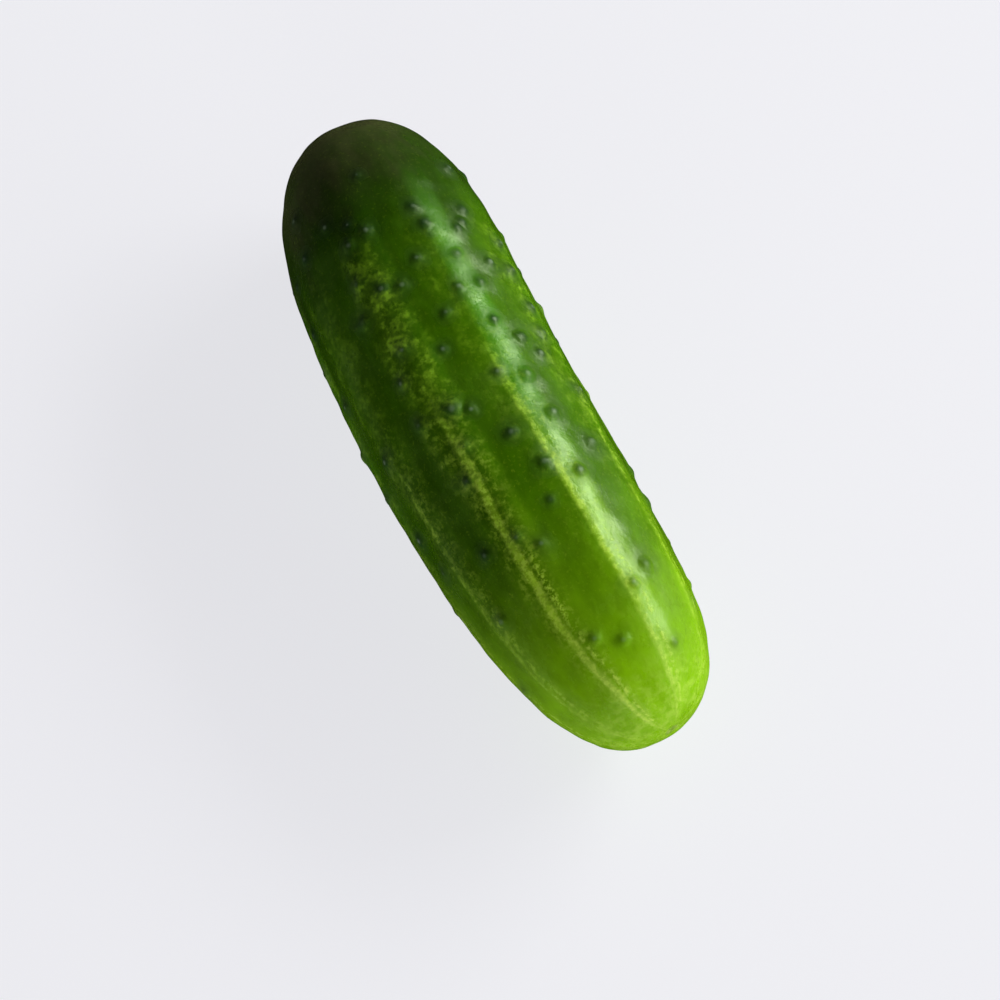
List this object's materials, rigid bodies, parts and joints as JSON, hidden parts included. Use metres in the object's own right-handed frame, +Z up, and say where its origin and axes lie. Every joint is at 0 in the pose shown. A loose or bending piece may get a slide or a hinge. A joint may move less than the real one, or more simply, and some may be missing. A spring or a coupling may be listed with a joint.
{
  "type": "pickling cucumber",
  "caption": "Whole pickling cucumber lying on its side, slightly bowed, with low ridges, scattered warts, a dished stem scar and a small blossom scar.",
  "frame": {"origin": "middle of the bounding box, on the surface that the fruit lies on", "axes": "+X along the fruit from the stem end to the blossom end, +Z up from the surface, +Y toward the side that both ends bow to"},
  "size_m": [0.1192, 0.0386, 0.037],
  "materials": {
    "skin": "glossy waxy skin, dark green at the stem end running to yellow-green at the blossom end, with pale streaks along the ridges and dark warts"
  },
  "bodies": {
    "root": {"cucumber": "skin"}
  },
  "joints": []
}
